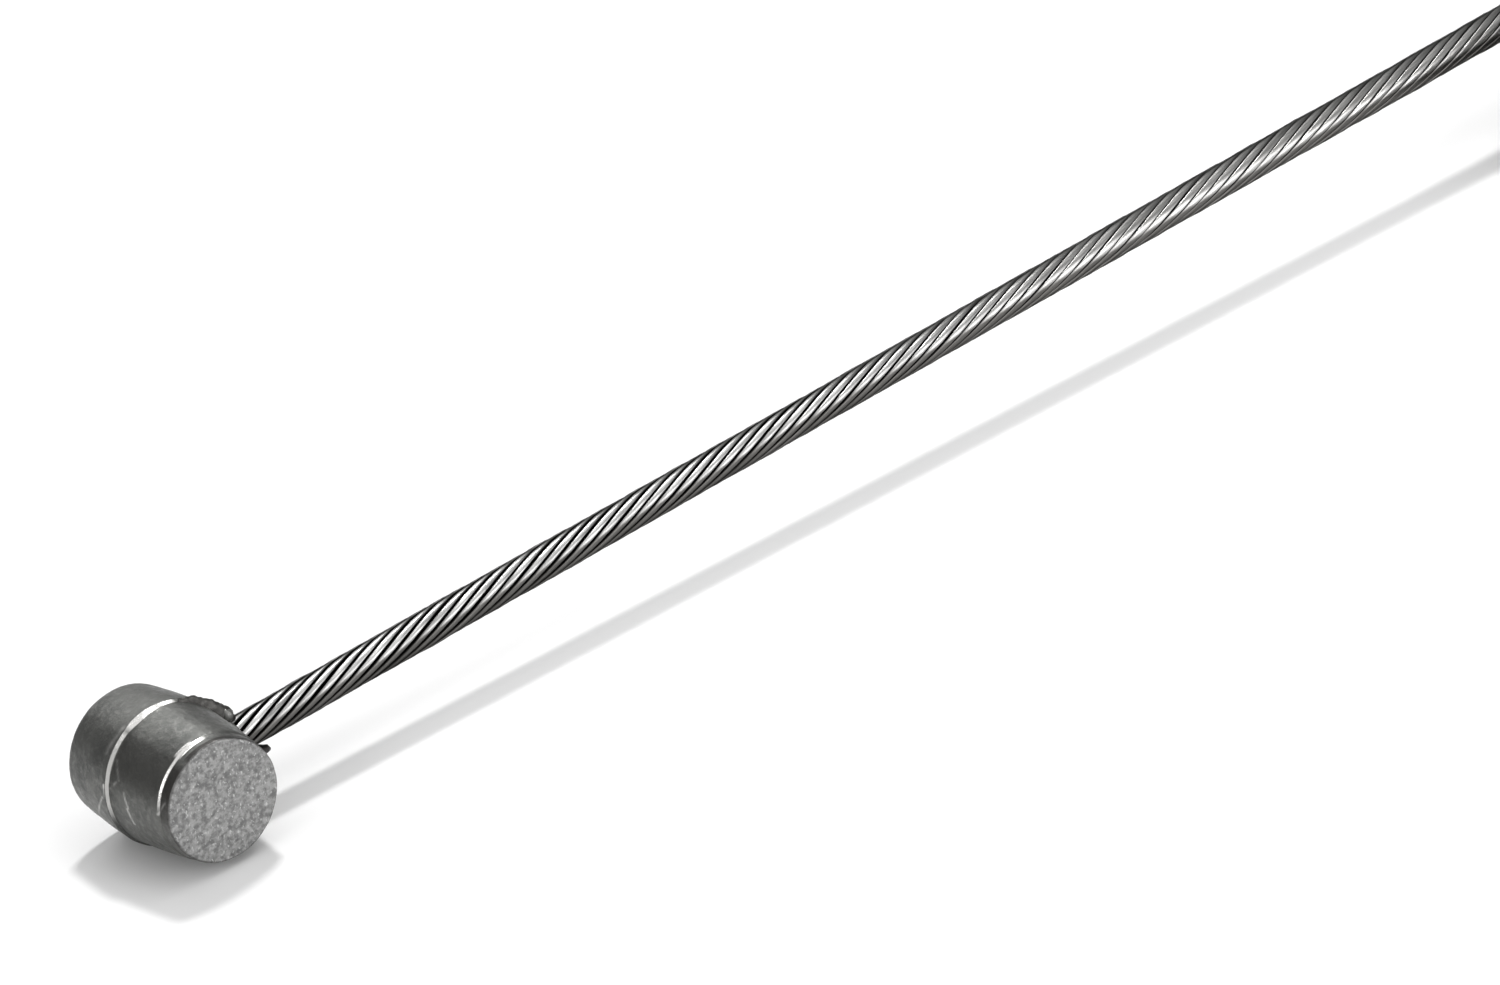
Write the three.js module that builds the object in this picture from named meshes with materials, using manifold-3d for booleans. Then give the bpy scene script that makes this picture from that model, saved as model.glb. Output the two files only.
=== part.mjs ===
// Bicycle brake cable: a barrel nipple cast on the end of a steel strand of nineteen wires,
// with the length that isn't in use folded in a neat hank and held by three ties.
//
// Millimetres, +Z up. The nipple's round axis lies along Y, and the strand leaves its side along
// +X and rises slowly to the hank. The pieces are modelled about the point on the floor under the
// nipple's axis, in the parting plane of its mould. The part's own origin is on the floor under
// the middle of the nipple's box, burr included, so the last lines move everything there.
import * as THREE from "three";
import { mergeVertices } from "three/addons/utils/BufferGeometryUtils.js";
import Module from "manifold-3d";

const wasm = await Module();
wasm.setup();

// Strand: one core wire, six wires round it and twelve round those
const strand_diameter = 1.6;
const wires_across = 5;
const wire_gap = 0.02;
const inner_wires = 6;
const outer_wires = 12;
const outer_lay = 14.1;
const inner_lay = 10.5;
const wire_pitch = strand_diameter / wires_across;
const wire_diameter = wire_pitch - wire_gap;
const strand_radius = strand_diameter / 2;

// Nipple: two tapered halves that meet in the parting plane of the mould, at y = 0
const ridge_radius = 3.5;
const back_length = 3.57;
const back_radius = 3.19;
const front_length = 4.28;
const parting_step = 0.12;
const rim_radius = 3.06;
const rim_step = 0.07;
const face_radius = 2.96;
const land_length = 0.8;
const edge_round = 0.12;
const mould_shift = { x: 0.04, z: -0.05 };

// Bore that the strand is cast into
const bore_clearance = 0.1;
const strand_seat_depth = 1.8;
const butt_gap = 0.3;
const bore_overrun = 1;
const bore_radius = strand_radius + bore_clearance;

// Flash that the mould left in the parting plane, over and under the strand
const flash_thickness = 0.5;
const flash_height = 0.5;
const flash_root = 0.5;
const flash_from = THREE.MathUtils.degToRad(17);
const flash_to = THREE.MathUtils.degToRad(62);
const burr_length = 1.7;
const burr_depth = 0.45;

// Hank: oblong turns in four columns of five layers, filled from the outermost column inwards. The
// strand arrives one layer under the top, so the outermost column is one turn lower than the rest.
const fold_radius = 4.8;
const straight_run = 24.4;
const columns = 4;
const layers = 5;
const turn_pitch = strand_diameter + 0.02;

// Ties round the hank's runs, each a thin band with its lock on top: how far each is from the middle
// of the first fold, and which run it holds
const tie_places = [
  { x: 15, angle: Math.PI / 2 },
  { x: 19, angle: -Math.PI / 2 },
  { x: 5, angle: -Math.PI / 2 },
];
const tie_thickness = 0.4;
const tie_clearance = 0.1;
const tie_width = 2.2;
const tie_lock = { length: 3.2, height: 1.3, width: 3.0 };

// The strand's far end, where its wires are fused together: it lies on the hank's first run
const tip_from = 3;
const tip_length = 5;
const tip_taper_length = 0.8;
const tip_end_radius = 0.45;

// Route of the strand's middle from inside the nipple to where it joins the hank's first run, in
// the plane y = 0, as [x, z]
const route_points = [
  [-strand_seat_depth, 3.45],
  [1, 3.53],
  [5, 3.64],
  [11, 3.8],
  [18, 4.0],
  [25, 4.19],
  [32, 4.39],
  [39, 4.58],
  [46, 4.77],
  [53, 4.97],
  [60, 5.16],
  [67, 5.36],
  [74, 5.55],
  [80, 5.72],
  [84, 5.84],
  [88.4, 5.98],
];

// Facets of the round forms
const barrel_segments = 44;
const bore_segments = 20;
const fold_segments = 16;
const corner_segments = 3;
const wire_sides = { core: 8, inner: 4, outer: 6 };
const steps_in_lay = { inner: 6, outer: 10 };
const core_steps = 12;
const tip_sides = 12;

// What follows from the sizes above
const route = new THREE.CatmullRomCurve3(route_points.map(([x, z]) => new THREE.Vector3(x, 0, z)));
const join = route.points.at(-1);
const hank_lift = tie_thickness + tie_clearance;
const outermost_radius = fold_radius + (columns - 1) * turn_pitch;
const outer_radius = outermost_radius + strand_radius;
const layerHeight = (layer) => hank_lift + strand_radius + (layer - 1) * turn_pitch;
const clear_of_hank = Math.sqrt(
  (outer_radius + butt_gap) ** 2 - (outermost_radius - strand_radius) ** 2,
);
const strand_end = join.x - clear_of_hank;

// Materials
const zinc = new THREE.MeshStandardMaterial({ color: 0x83847f, roughness: 0.55, metalness: 0.75 });
const steel = new THREE.MeshStandardMaterial({ color: 0xa3a09a, roughness: 0.32, metalness: 1 });
const fused_steel = new THREE.MeshStandardMaterial({ color: 0xb4b1aa, roughness: 0.42, metalness: 1 });
const nylon = new THREE.MeshStandardMaterial({ color: 0x1d1d1f, roughness: 0.5, metalness: 0 });

// A closed geometry as a solid that can be joined and cut
function solid(geometry) {
  const bare = geometry.clone();
  bare.deleteAttribute("normal");
  bare.deleteAttribute("uv");
  const merged = mergeVertices(bare, 1e-4);
  return new wasm.Manifold(
    new wasm.Mesh({
      numProp: 3,
      vertProperties: merged.attributes.position.array,
      triVerts: new Uint32Array(merged.index.array),
    }),
  );
}

// A solid as a geometry that a mesh can show
function geometryOf(shape) {
  const mesh = shape.getMesh();
  const geometry = new THREE.BufferGeometry();
  geometry.setAttribute("position", new THREE.BufferAttribute(mesh.vertProperties, 3));
  geometry.setIndex(new THREE.BufferAttribute(mesh.triVerts, 1));
  return geometry;
}

// A sub-part under the name that a person would use
function named(name, geometry, material) {
  const mesh = new THREE.Mesh(geometry, material);
  mesh.name = name;
  return mesh;
}

// Points of a quarter round from one angle to the next, about a middle
function quarterRound(middleX, middleY, radius, fromAngle) {
  return Array.from({ length: corner_segments + 1 }, (_, i) => {
    const angle = fromAngle + (i / corner_segments) * (Math.PI / 2);
    return new THREE.Vector2(middleX + radius * Math.cos(angle), middleY + radius * Math.sin(angle));
  });
}

// The back half of the casting, the wider one where the halves meet
function backHalf() {
  const profile = [
    new THREE.Vector2(0, 0),
    new THREE.Vector2(ridge_radius, 0),
    ...quarterRound(back_radius - edge_round, back_length - edge_round, edge_round, 0),
    new THREE.Vector2(0, back_length),
  ];
  return solid(new THREE.LatheGeometry(profile, barrel_segments));
}

// The front half: it tapers to a rim, steps in there, and ends in a short land and a flat face
function frontHalf() {
  const overlap = edge_round;
  const rim_y = -(front_length - land_length);
  const profile = [
    new THREE.Vector2(0, -front_length),
    ...quarterRound(face_radius - edge_round, -front_length + edge_round, edge_round, -Math.PI / 2),
    new THREE.Vector2(rim_radius - rim_step, rim_y),
    new THREE.Vector2(rim_radius, rim_y),
    new THREE.Vector2(ridge_radius - parting_step, 0),
    new THREE.Vector2(ridge_radius - parting_step, overlap),
    new THREE.Vector2(0, overlap),
  ];
  const geometry = new THREE.LatheGeometry(profile, barrel_segments);
  geometry.translate(mould_shift.x, 0, mould_shift.z);
  return solid(geometry);
}

// A plate in the parting plane, from an outline of x and height above the nipple's axis
function flashPlate(outline) {
  const geometry = new THREE.ExtrudeGeometry(new THREE.Shape(outline), {
    depth: flash_thickness,
    bevelEnabled: false,
  });
  geometry.translate(0, 0, -flash_thickness / 2);
  geometry.rotateX(Math.PI / 2);
  return solid(geometry);
}

// The lump over the strand follows the ridge and is highest near the strand
function upperFlash() {
  const steps = 6;
  const along = Array.from({ length: steps + 1 }, (_, i) => i / steps);
  const polar = (radius, share) => {
    const angle = THREE.MathUtils.lerp(flash_from, flash_to, share);
    return new THREE.Vector2(radius * Math.cos(angle), radius * Math.sin(angle));
  };
  const crest = (share) => ridge_radius + flash_height * Math.cos((share * Math.PI) / 2) ** 0.5;
  const outline = [
    ...along.map((share) => polar(crest(share), share)),
    ...along.toReversed().map((share) => polar(ridge_radius - flash_root, share)),
  ];
  return flashPlate(outline);
}

// The burr under the strand runs out along it and ends in a point
function lowerBurr() {
  const top = -strand_radius + bore_clearance;
  const outline = [
    new THREE.Vector2(ridge_radius - flash_root, top),
    new THREE.Vector2(ridge_radius - flash_root, -strand_radius - burr_depth),
    new THREE.Vector2(ridge_radius + burr_length * 0.4, -strand_radius - burr_depth),
    new THREE.Vector2(ridge_radius + burr_length * 0.75, -strand_radius - burr_depth * 0.55),
    new THREE.Vector2(ridge_radius + burr_length, -strand_radius - burr_depth * 0.6),
    new THREE.Vector2(ridge_radius + burr_length, top),
  ];
  return flashPlate(outline);
}

// The casting with its flash, and the bore that follows the strand's slope
function nipple() {
  const casting = backHalf().add(frontHalf());
  const withFlash = casting.add(upperFlash()).add(lowerBurr());
  const start = route.getPointAt(0);
  const direction = route.getTangentAt(0);
  const reach = butt_gap + strand_seat_depth + ridge_radius + burr_length + bore_overrun;
  const cutter = new THREE.CylinderGeometry(bore_radius, bore_radius, reach, bore_segments);
  cutter.rotateZ(-Math.PI / 2);
  cutter.translate(reach / 2 - butt_gap, 0, 0);
  cutter.rotateY(-Math.atan2(direction.z, direction.x));
  cutter.translate(start.x, 0, start.z - ridge_radius);
  const geometry = geometryOf(withFlash.subtract(solid(cutter)));
  geometry.translate(0, 0, ridge_radius);
  return geometry;
}

// The middle line of one wire, a helix round the strand's route: a positive lay is left-hand
class LaidWire extends THREE.Curve {
  constructor(radius, lay, phase) {
    super();
    this.radius = radius;
    this.lay = lay;
    this.phase = phase;
  }

  getPoint(t, target = new THREE.Vector3()) {
    const share = t * laid_share;
    const along = route.getTangentAt(share);
    const across = new THREE.Vector3(0, 1, 0);
    const up = new THREE.Vector3().crossVectors(along, across);
    const angle = this.phase - (2 * Math.PI * share * route_length) / this.lay;
    return target
      .copy(route.getPointAt(share))
      .addScaledVector(across, this.radius * Math.cos(angle))
      .addScaledVector(up, this.radius * Math.sin(angle));
  }
}

const route_length = route.getLength();
const laid_share = (strand_end - route.points[0].x) / (join.x - route.points[0].x);
const laid_length = laid_share * route_length;

// One wire, swept along its helix for as far as the strand is modelled
function wire(radius, lay, phase, sides, steps) {
  const section = new THREE.Shape(
    Array.from({ length: sides }, (_, i) => {
      const angle = (2 * Math.PI * i) / sides;
      return new THREE.Vector2(Math.cos(angle), Math.sin(angle)).multiplyScalar(wire_diameter / 2);
    }),
  );
  return new THREE.ExtrudeGeometry(section, {
    steps,
    bevelEnabled: false,
    extrudePath: new LaidWire(radius, lay, phase),
  });
}

// One layer of wires, all at the same distance from the strand's middle
function wireLayer(name, count, layerNumber, lay, sides, stepsInLay) {
  const steps = Math.ceil((laid_length / Math.abs(lay)) * stepsInLay);
  return Array.from({ length: count }, (_, i) => {
    const phase = (2 * Math.PI * i) / count;
    const geometry = wire(layerNumber * wire_pitch, lay, phase, sides, steps);
    return named(`${name}_${i + 1}`, geometry, steel);
  });
}

// The strand: its inner layer is laid against the outer one, so that it doesn't untwist
function strand() {
  const group = new THREE.Group();
  group.add(named("core_wire", wire(0, outer_lay, 0, wire_sides.core, core_steps), steel));
  group.add(
    ...wireLayer("inner_wire", inner_wires, 1, -inner_lay, wire_sides.inner, steps_in_lay.inner),
    ...wireLayer("outer_wire", outer_wires, 2, outer_lay, wire_sides.outer, steps_in_lay.outer),
  );
  return group;
}

// The middles of the turns at the corners of the hank's section, as distance from the fold's axis
// and height, round once
const corner_turns = [
  new THREE.Vector2(outermost_radius, layerHeight(1)),
  new THREE.Vector2(outermost_radius, layerHeight(layers - 1)),
  new THREE.Vector2(outermost_radius - turn_pitch, layerHeight(layers)),
  new THREE.Vector2(fold_radius, layerHeight(layers)),
  new THREE.Vector2(fold_radius, layerHeight(1)),
];

// The outline that runs round those turns at a distance from their middles
function sectionOutline(distance) {
  return corner_turns.flatMap((middle, i) => {
    const before = corner_turns.at(i - 1);
    const after = corner_turns[(i + 1) % corner_turns.length];
    const from = middle.clone().sub(before).angle() - Math.PI / 2;
    const turn = THREE.MathUtils.euclideanModulo(
      after.clone().sub(middle).angle() - Math.PI / 2 - from,
      2 * Math.PI,
    );
    const steps = Math.ceil((turn / (Math.PI / 2)) * corner_segments - 0.01);
    return Array.from({ length: steps + 1 }, (_, k) => {
      const angle = from + (k / steps) * turn;
      return new THREE.Vector2(Math.cos(angle), Math.sin(angle))
        .multiplyScalar(distance)
        .add(middle);
    });
  });
}

// The hank's outer shape as one oblong ring: two folds, joined by the straight runs between them.
// Its own origin is on the floor under the axis of the fold that the strand reaches first.
function hankRing() {
  const outline = sectionOutline(strand_radius);
  const foldStations = (x, fromAngle) =>
    Array.from({ length: fold_segments + 1 }, (_, i) => ({
      x,
      angle: fromAngle + (i / fold_segments) * Math.PI,
    }));
  const stations = [
    ...foldStations(straight_run, -Math.PI / 2),
    ...foldStations(0, Math.PI / 2),
  ];
  const positions = stations.flatMap(({ x, angle }) =>
    outline.flatMap((point) => [
      x + point.x * Math.cos(angle),
      point.x * Math.sin(angle),
      point.y,
    ]),
  );
  const corner = (station, k) =>
    (station % stations.length) * outline.length + (k % outline.length);
  const faces = stations.flatMap((_, i) =>
    outline.flatMap((_, k) => [
      ...[corner(i, k), corner(i + 1, k), corner(i + 1, k + 1)],
      ...[corner(i, k), corner(i + 1, k + 1), corner(i, k + 1)],
    ]),
  );
  const ring = new THREE.BufferGeometry();
  ring.setAttribute("position", new THREE.Float32BufferAttribute(positions, 3));
  ring.setIndex(faces);
  return ring;
}

// One tie: a band round the hank's section, with its lock on top
function tie() {
  const hole_distance = strand_radius + tie_clearance;
  const band = new THREE.Shape(sectionOutline(hole_distance + tie_thickness));
  band.holes.push(new THREE.Path(sectionOutline(hole_distance)));
  const band_geometry = new THREE.ExtrudeGeometry(band, { depth: tie_width, bevelEnabled: false });
  band_geometry.translate(0, 0, -tie_width / 2);
  band_geometry.rotateX(Math.PI / 2);
  const lock = new THREE.BoxGeometry(tie_lock.length, tie_lock.width, tie_lock.height);
  const lock_bottom = layerHeight(layers) + hole_distance + tie_thickness / 2;
  lock.translate(fold_radius + turn_pitch, 0, lock_bottom + tie_lock.height / 2);
  return geometryOf(solid(band_geometry).add(solid(lock)));
}

// The strand's end, along +X on top of the innermost turn, with a taper at its tip
function fusedTip() {
  const profile = [
    new THREE.Vector2(0, 0),
    new THREE.Vector2(strand_radius, 0),
    new THREE.Vector2(strand_radius, tip_length - tip_taper_length),
    new THREE.Vector2(tip_end_radius, tip_length),
    new THREE.Vector2(0, tip_length),
  ];
  const tip = named("fused_tip", new THREE.LatheGeometry(profile, tip_sides), fused_steel);
  tip.rotation.z = -Math.PI / 2;
  tip.position.set(tip_from, fold_radius, layerHeight(layers + 1));
  return tip;
}

// The hank with its ties and the strand's end. The strand joins it along its outermost turn.
function hank() {
  const group = new THREE.Group();
  group.position.set(join.x, -outermost_radius, 0);
  group.add(named("hank", hankRing(), steel));
  tie_places.forEach(({ x, angle }, i) => {
    const band = named(`hank_tie_${i + 1}`, tie(), nylon);
    band.position.x = x;
    band.rotation.z = angle;
    group.add(band);
  });
  group.add(fusedTip());
  return group;
}

const brake_cable = new THREE.Group();
brake_cable.add(named("nipple", nipple(), zinc));
brake_cable.add(strand());
brake_cable.add(hank());
brake_cable.position.set(-burr_length / 2, (front_length - back_length) / 2, 0);

export default brake_cable;
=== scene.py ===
# Bicycle brake cable: the looks of the strand, its cast nipple, the hank's ties and the tip.
import math

import bmesh
import bpy
import numpy as np
from mathutils import Matrix, Vector


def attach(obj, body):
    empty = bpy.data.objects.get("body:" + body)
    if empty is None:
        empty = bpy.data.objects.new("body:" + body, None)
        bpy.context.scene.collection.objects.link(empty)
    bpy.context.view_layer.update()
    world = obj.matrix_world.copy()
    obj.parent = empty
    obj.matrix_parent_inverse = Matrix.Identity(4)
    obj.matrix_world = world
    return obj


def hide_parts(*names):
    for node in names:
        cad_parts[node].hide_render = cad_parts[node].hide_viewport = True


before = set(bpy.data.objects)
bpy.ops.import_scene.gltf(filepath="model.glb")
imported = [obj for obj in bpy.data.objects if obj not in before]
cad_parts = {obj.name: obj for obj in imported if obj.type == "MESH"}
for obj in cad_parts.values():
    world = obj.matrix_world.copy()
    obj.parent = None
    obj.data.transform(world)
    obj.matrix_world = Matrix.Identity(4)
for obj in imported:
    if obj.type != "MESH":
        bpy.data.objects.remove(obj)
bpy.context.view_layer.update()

mm = 0.001
UP = np.array([0.0, 0.0, 1.0])

# The pieces are shaped about the point on the floor under the nipple's axis, in the mould's
# parting plane. This takes them to the part's own origin.
TO_ROW = np.array([-0.85, 0.355, 0.0]) * mm

# Camera, fitted to the photo: angles in degrees, lens and sensor in mm
CAMERA_AZIMUTH = -31.85
CAMERA_ELEVATION = 27.38
CAMERA_ROLL = -12.03
CAMERA_DISTANCE = 456.55 * mm
CAMERA_TARGET = np.array([33.354, 0, 2.178]) * mm + TO_ROW
CAMERA_LENS = 233.3
CAMERA_SENSOR = 36

# Strand
STRAND_DIAMETER = 1.6 * mm
STRAND_RADIUS = STRAND_DIAMETER / 2
INNER_WIRES = 6
OUTER_WIRES = 12
OUTER_LAY = 14.1 * mm

# Route of the strand's middle from inside the nipple to the hank, as x and z
ROUTE = [
    (-0.0018, 0.00345),
    (0.001, 0.00353),
    (0.005, 0.00364),
    (0.011, 0.0038),
    (0.018, 0.0040),
    (0.025, 0.00419),
    (0.032, 0.00439),
    (0.039, 0.00458),
    (0.046, 0.00477),
    (0.053, 0.00497),
    (0.060, 0.00516),
    (0.067, 0.00536),
    (0.074, 0.00555),
    (0.080, 0.00572),
    (0.084, 0.00584),
    (0.0884, 0.00598),
]
ROUTE_STEPS = 30

# Hank: oblong turns in four columns, filled from the outermost inwards. In each column the strand
# goes up or down one layer in every turn, at the second fold, and it changes columns at the first.
FOLD_RADIUS = 4.8 * mm
STRAIGHT_RUN = 24.4 * mm
TURN_PITCH = 1.62 * mm
TURN_STEPS = 240
HANK_LIFT = 0.5 * mm
COLUMN_LAYERS = ((4, 3, 2, 1), (1, 2, 3, 4, 5), (5, 4, 3, 2, 1), (1, 2, 3, 4, 5, 6))
TOP_LAYER = 5
OUTERMOST_RADIUS = FOLD_RADIUS + (len(COLUMN_LAYERS) - 1) * TURN_PITCH
HANK_ORIGIN = np.array([ROUTE[-1][0], -OUTERMOST_RADIUS, 0])
SETTLING = 15 * mm
FOLD_MARGIN = 0.04
TIP_FROM = 3 * mm
TIP_LENGTH = 5 * mm
END_STEPS = 19


def unit(vectors):
    return vectors / np.linalg.norm(vectors, axis=-1, keepdims=True)


def rise(value, start, end):
    """Nothing up to start, one from end on and a smooth step between them."""
    share = np.clip((value - start) / (end - start), 0, 1)
    return share * share * (3 - 2 * share)


def ripple(seed, places, scale, waves=14):
    """Smooth noise from about -1 to 1, a sum of waves in random directions."""
    rng = np.random.default_rng(seed)
    directions = rng.normal(size=(waves, places.shape[-1])) / scale
    starts = rng.uniform(0, 2 * math.pi, waves)
    return np.sin(places @ directions.T + starts).sum(-1) / math.sqrt(waves)


def layered(places, layers):
    """A sum of ripples, each with its seed, height, scale and number of waves."""
    return sum(height * ripple(seed, places, scale, waves) for seed, height, scale, waves in layers)


def squared(values, power):
    """Cosines or sines of a circle, pushed out towards a rounded box by a power below one."""
    return np.sign(values) * np.abs(values) ** power


def spline(points, per_span):
    """A Catmull-Rom curve through the points."""
    points = np.array(points)
    before = 2 * points[0] - points[1]
    after = 2 * points[-1] - points[-2]
    padded = np.vstack([before, points, after])
    t = np.linspace(0, 1, per_span, endpoint=False)[:, None]
    spans = []
    for a, b, c, d in zip(padded, padded[1:], padded[2:], padded[3:]):
        second = 2 * a - 5 * b + 4 * c - d
        third = 3 * b - a - 3 * c + d
        spans.append(0.5 * (2 * b + (c - a) * t + second * t**2 + third * t**3))
    return np.vstack(spans + [points[-1:]])


def straight_line():
    """The strand's middle from inside the nipple to the hank."""
    return spline([(x, 0, z) for x, z in ROUTE], ROUTE_STEPS)


def layer_height(layer):
    return HANK_LIFT + STRAND_RADIUS + (layer - 1) * TURN_PITCH


def hank_turns():
    """A row for each turn: its column round the first fold and its layer round the second."""
    turns = []
    for column, layers in enumerate(COLUMN_LAYERS):
        for number, (layer, next_layer) in enumerate(zip(layers, layers[1:])):
            last_column = max(column - 1, 0) if number == 0 else column
            turns.append((last_column, column, layer, next_layer))
    return np.array(turns, dtype=float)


def hank_line():
    """Clockwise from above, from the outermost column to the end on top of the innermost."""
    turns = hank_turns()
    fold = math.pi * (FOLD_RADIUS + OUTERMOST_RADIUS) / 2
    turn_length = 2 * (STRAIGHT_RUN + fold)
    stops = np.cumsum([0, STRAIGHT_RUN, fold, STRAIGHT_RUN, fold]) / turn_length
    place = np.arange(len(turns) * TURN_STEPS + 1) / TURN_STEPS
    number = np.minimum(place.astype(int), len(turns) - 1)
    share = place - number
    column, next_column, layer, next_layer = turns[number].T

    def moved(start, end):
        margin = FOLD_MARGIN * (end - start)
        return rise(share, start + margin, end - margin)

    column = column + (next_column - column) * moved(stops[1], stops[2])
    layer = layer + (next_layer - layer) * moved(stops[3], stops[4])
    angle = np.radians(np.interp(share, stops, [90, 90, -90, -90, -270]))
    radius = OUTERMOST_RADIUS - column * TURN_PITCH
    height = layer_height(layer)
    settled = rise(place * turn_length, 0, SETTLING)
    height = height + (ROUTE[-1][1] - height[0]) * (1 - settled)
    x = np.interp(share, stops, [0, STRAIGHT_RUN, STRAIGHT_RUN, 0, 0]) + radius * np.cos(angle)
    return np.stack([x, radius * np.sin(angle), height], axis=-1) + HANK_ORIGIN


def strand_line():
    """The middle of the whole strand, from inside the nipple to the fused tip."""
    hank = hank_line()
    onward = np.linspace(0, TIP_FROM + TIP_LENGTH, END_STEPS + 1)[1:, None]
    end = hank[-1] + onward * np.array([1.0, 0, 0])
    return np.vstack([straight_line(), hank[1:], end])


class Line:
    """The strand's middle line by its own length, with a frame that stays upright."""

    def __init__(self, points):
        steps = np.linalg.norm(np.diff(points, axis=0), axis=-1)
        self.points = points
        self.lengths = np.concatenate([[0], np.cumsum(steps)])
        self.length = self.lengths[-1]

    def at(self, lengths):
        return np.stack([np.interp(lengths, self.lengths, p) for p in self.points.T], axis=-1)

    def frames(self, lengths):
        """Middle, direction, level side and upward side at each length."""
        reach = 0.3 * mm
        along = unit(self.at(lengths + reach) - self.at(lengths - reach))
        across = unit(np.cross(UP, along))
        return self.at(lengths), along, across, np.cross(along, across)


def build_camera():
    azimuth, elevation = math.radians(CAMERA_AZIMUTH), math.radians(CAMERA_ELEVATION)
    roll = math.radians(CAMERA_ROLL)
    level_back = np.array([math.sin(azimuth), -math.cos(azimuth), 0])
    back = math.cos(elevation) * level_back + math.sin(elevation) * UP
    level = np.array([math.cos(azimuth), math.sin(azimuth), 0])
    upright = np.cross(back, level)
    right = math.cos(roll) * level + math.sin(roll) * upright
    up = -math.sin(roll) * level + math.cos(roll) * upright
    data = bpy.data.cameras.new("camera")
    data.sensor_width = CAMERA_SENSOR
    data.lens = CAMERA_LENS
    data.clip_start = 0.01
    camera = bpy.data.objects.new("camera", data)
    bpy.context.collection.objects.link(camera)
    turn = Matrix([right, up, back]).transposed().to_4x4()
    camera.matrix_world = Matrix.Translation(CAMERA_TARGET + back * CAMERA_DISTANCE) @ turn
    bpy.context.scene.camera = camera


def smooth_object(mesh, material):
    mesh.shade_smooth()
    mesh.materials.append(material)
    piece = bpy.data.objects.new(mesh.name, mesh)
    bpy.context.collection.objects.link(piece)
    return piece


def tube_faces(rings, sides, first, closed):
    """Faces of a tube whose rings follow one another in the list of corners."""
    faces = []
    for ring in range(rings if closed else rings - 1):
        here = first + ring * sides
        there = first + ((ring + 1) % rings) * sides
        for side in range(sides):
            after = (side + 1) % sides
            faces.append((here + side, here + after, there + after, there + side))
    if not closed:
        last = first + (rings - 1) * sides
        faces.append(tuple(first + side for side in reversed(range(sides))))
        faces.append(tuple(last + side for side in range(sides)))
    return faces


class Shell:
    """Tubes that are gathered into one mesh."""

    def __init__(self):
        self.places = []
        self.values = {}
        self.faces = []
        self.count = 0

    def add(self, rings, closed=False, **values):
        """A tube from its rings, with one vector at every corner for each named value."""
        number, sides, _ = rings.shape
        self.faces += tube_faces(number, sides, self.count, closed)
        self.places.append(rings.reshape(-1, 3))
        for key, value in values.items():
            self.values.setdefault(key, []).append(value.reshape(-1, 3))
        self.count += number * sides

    def piece(self, name, material):
        """One smooth object, with the named values as attributes for its material."""
        mesh = bpy.data.meshes.new(name)
        mesh.from_pydata((np.vstack(self.places) + TO_ROW).tolist(), [], self.faces)
        for key, values in self.values.items():
            layer = mesh.attributes.new(key, "FLOAT_VECTOR", "POINT")
            layer.data.foreach_set("vector", np.vstack(values).astype(np.float32).ravel())
        piece = smooth_object(mesh, material)
        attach(piece, "root")
        return piece


# Outer wires: the ring that their middles lie on, and each wire's section
WIRE_RING = 0.645 * mm
WIRE_HALF_WIDTH = 0.163 * mm
WIRE_HALF_HEIGHT = 0.155 * mm
WIRE_SIDES = 14
WIRE_STEPS_IN_LAY = 26

# Between these lengths the wires' sections turn from rounder to squarer and a little wider
FLATTER = (38 * mm, 62 * mm)
WIRE_SQUARENESS = (3.0, 5.5)
WIRE_SPREAD = 0.007 * mm

# The wires stand a little off the ring, more so near the nipple. Between these lengths before
# their end they close up, and at the end they sink into the hank's tube.
WIRE_SLACK = 0.02 * mm
CLOSING = (6 * mm, 1 * mm)
LOOSENED = 0.05 * mm
LOOSE_UNTIL = (10 * mm, 40 * mm)
JOINT_OVERLAP = 0.7 * mm
JOINT_SINK = 0.07 * mm

# How each wire wanders round the strand, away from it and about itself: seed, amount and scale
# in mm
WANDERS = ((100, math.radians(1.3), 9), (200, 0.012 * mm, 7), (300, math.radians(5), 11))
WANDER_WAVES = 6

# Middle tube that shows between the wires; it lies inside the crowns, so it gets the grooves'
# painted shade
CORE_RADIUS = 0.52 * mm
CORE_SIDES = 10

# The rest of the strand as one tube: each wire's outline, as degrees from its middle and radius
# in mm
LOBE_POINTS = ((-6.5, 0.795), (6.5, 0.795), (15, 0.655))
LOBED_STEPS_IN_LAY = 14
TUBE_OVERLAP = 0.3 * mm

# Fused tip: by which share of its length the wires have melted, and from which it is rounded off
TIP_RINGS = 34
TIP_RADIUS = 0.79 * mm
TIP_SKIN = 0.012 * mm
TIP_BUMPS = 0.012 * mm
TIP_MELTED_BY = 0.5
TIP_ROUND_FROM = 0.84
TIP_NARROWING = 0.45


def in_strand(line, lengths, x, y):
    """Places in the strand's turning frame, where x and y may differ from length to length."""
    middle, _, across, up = line.frames(lengths)
    turn = -2 * math.pi * lengths / OUTER_LAY
    cos, sin = np.cos(turn)[:, None, None], np.sin(turn)[:, None, None]
    x, y = x[..., None], y[..., None]
    sideways = (x * cos - y * sin) * across[:, None]
    upwards = (x * sin + y * cos) * up[:, None]
    return middle[:, None] + sideways + upwards


def in_grain(x, y, along):
    """Places in the strand's turning frame as numbers for the material, in mm."""
    return np.stack(np.broadcast_arrays(x / mm, y / mm, along), axis=-1)


def add_tube(shell, line, lengths, x, y, off_x=0.0, off_y=0.0):
    """A tube of the strand. How far it lies off its place doesn't count in its grain."""
    rings = in_strand(line, lengths, x + off_x, y + off_y)
    outward = unit(rings - line.at(lengths)[:, None])
    shell.add(rings, grain=in_grain(x, y, lengths[:, None] / mm), outward=outward)


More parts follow.
